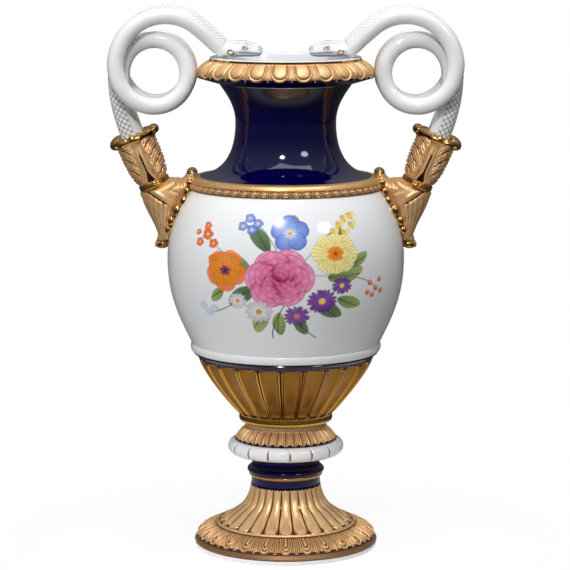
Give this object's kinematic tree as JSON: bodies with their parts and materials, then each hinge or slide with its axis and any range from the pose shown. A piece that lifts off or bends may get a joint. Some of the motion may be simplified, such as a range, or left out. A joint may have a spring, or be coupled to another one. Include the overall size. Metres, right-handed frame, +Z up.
{
  "type": "snake-handled vase",
  "caption": "Porcelain vase of classical shape with coiled snake handles, a blue neck, gilt mouldings and a painted white belly.",
  "frame": {"origin": "middle of the foot on the table", "axes": "+Z up, front towards -Y, handles along X"},
  "size_m": [0.309, 0.2096, 0.4807],
  "materials": {
    "white_glaze": "clear glaze over white porcelain, painted flowers on the belly",
    "cobalt_glaze": "deep cobalt underglaze blue, high gloss",
    "matte_gilding": "matte gold with burnished lines",
    "bright_gilding": "burnished gold",
    "steel": "plain steel",
    "rubber": "black rubber"
  },
  "bodies": {
    "root": {"foot_ring": "white_glaze", "base_moulding": "matte_gilding", "ribbed_foot": "matte_gilding", "stem": "cobalt_glaze", "knop_ring": "white_glaze", "leaf_collar": "bright_gilding", "joint_gasket": "rubber", "fluted_cup": "bright_gilding", "belly": "white_glaze", "shoulder_collar": "matte_gilding", "neck": "cobalt_glaze", "rim_collar": "matte_gilding", "tie_rod": "steel", "top_pad": "rubber", "top_plate": "steel", "top_nut": "steel", "bottom_pad": "rubber", "bottom_plate": "steel", "bottom_nut": "steel", "right_calyx": "matte_gilding", "left_calyx": "matte_gilding", "right_waist_band": "bright_gilding", "left_waist_band": "bright_gilding", "right_bracket": "matte_gilding", "left_bracket": "matte_gilding", "right_front_snake": "white_glaze", "right_back_snake": "white_glaze", "left_front_snake": "white_glaze", "left_back_snake": "white_glaze"}
  },
  "joints": []
}
